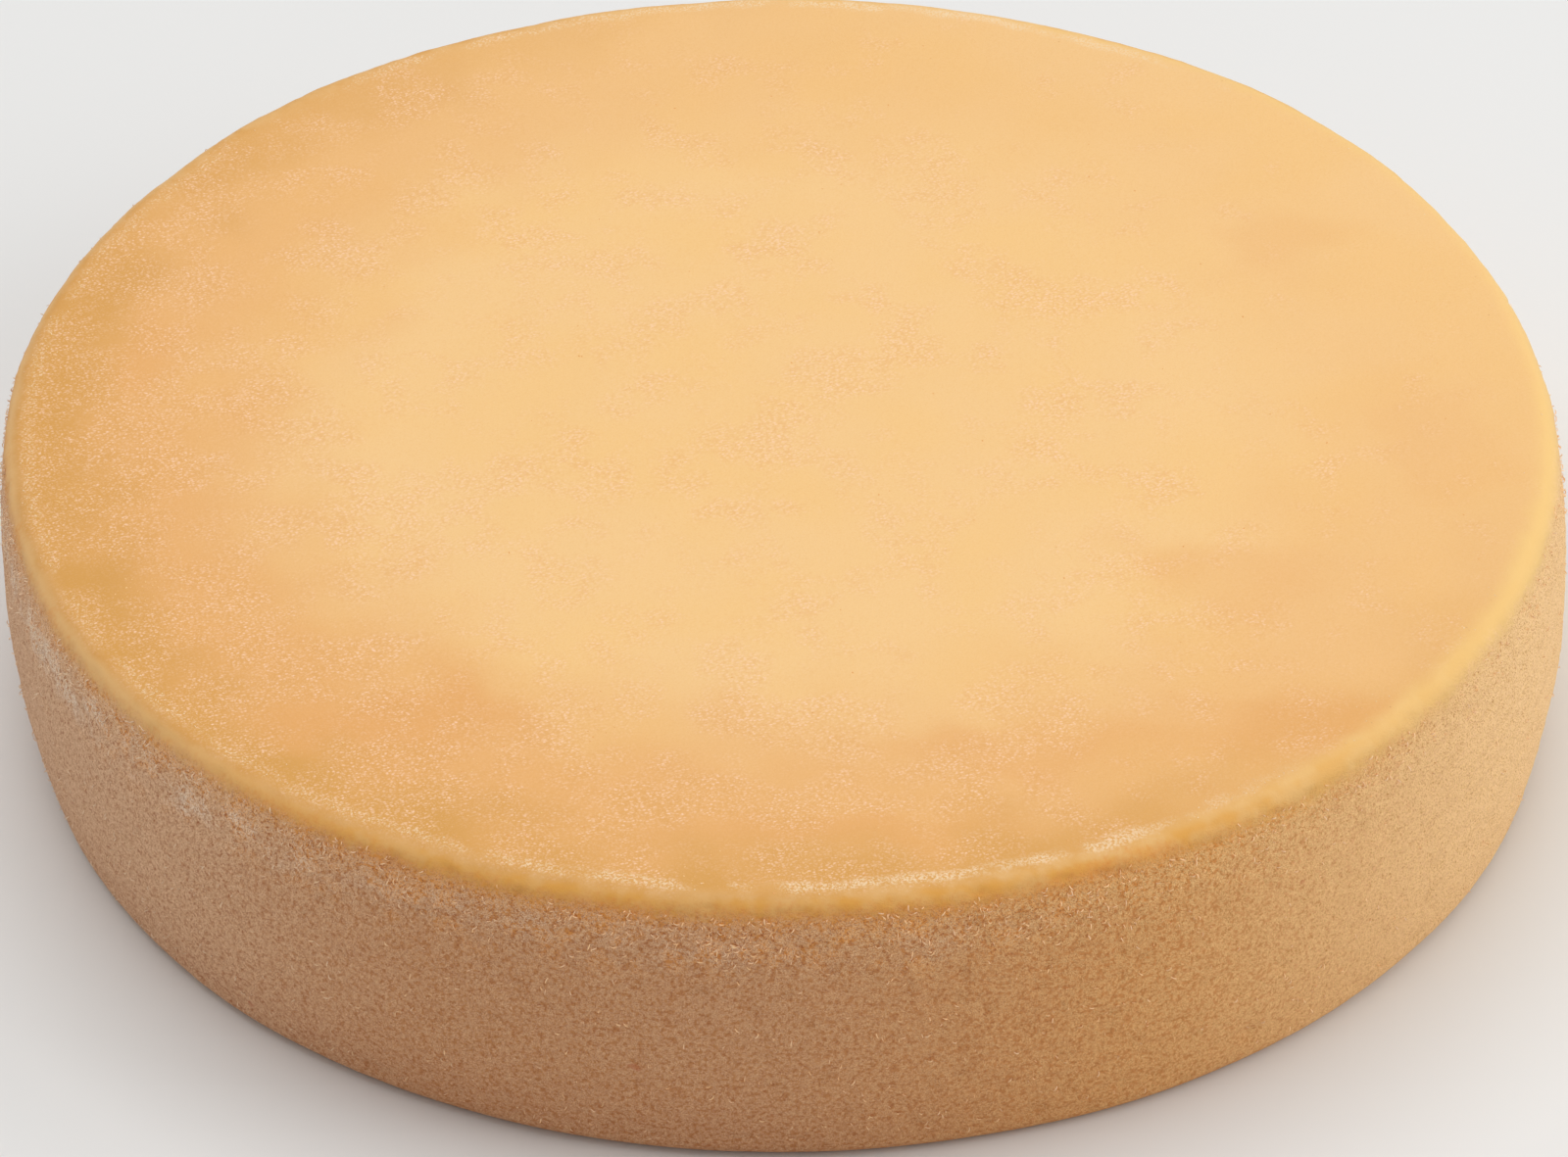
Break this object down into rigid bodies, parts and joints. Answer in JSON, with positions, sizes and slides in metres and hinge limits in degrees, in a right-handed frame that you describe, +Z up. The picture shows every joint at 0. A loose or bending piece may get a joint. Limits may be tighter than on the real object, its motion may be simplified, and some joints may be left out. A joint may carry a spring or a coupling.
{
  "type": "raclette cheese",
  "caption": "Whole round raclette cheese with a flat golden top, rounded edges and a bulging brown heel, lying on its flat foot; a hard cheese for melting and scraping.",
  "frame": {"origin": "centre of the flat foot that the wheel rests on", "axes": "+Z up through the wheel, -Y towards the side that the picture shows in front, +X to the right of that view"},
  "size_m": [0.3196, 0.3195, 0.0674],
  "materials": {
    "rind": "washed cheese rind: pale golden top with an amber ring and fine cloth marks, waxy yellow edge, brown pitted heel with a pale bloom"
  },
  "bodies": {
    "root": {"cheese_wheel": "rind"}
  },
  "joints": []
}
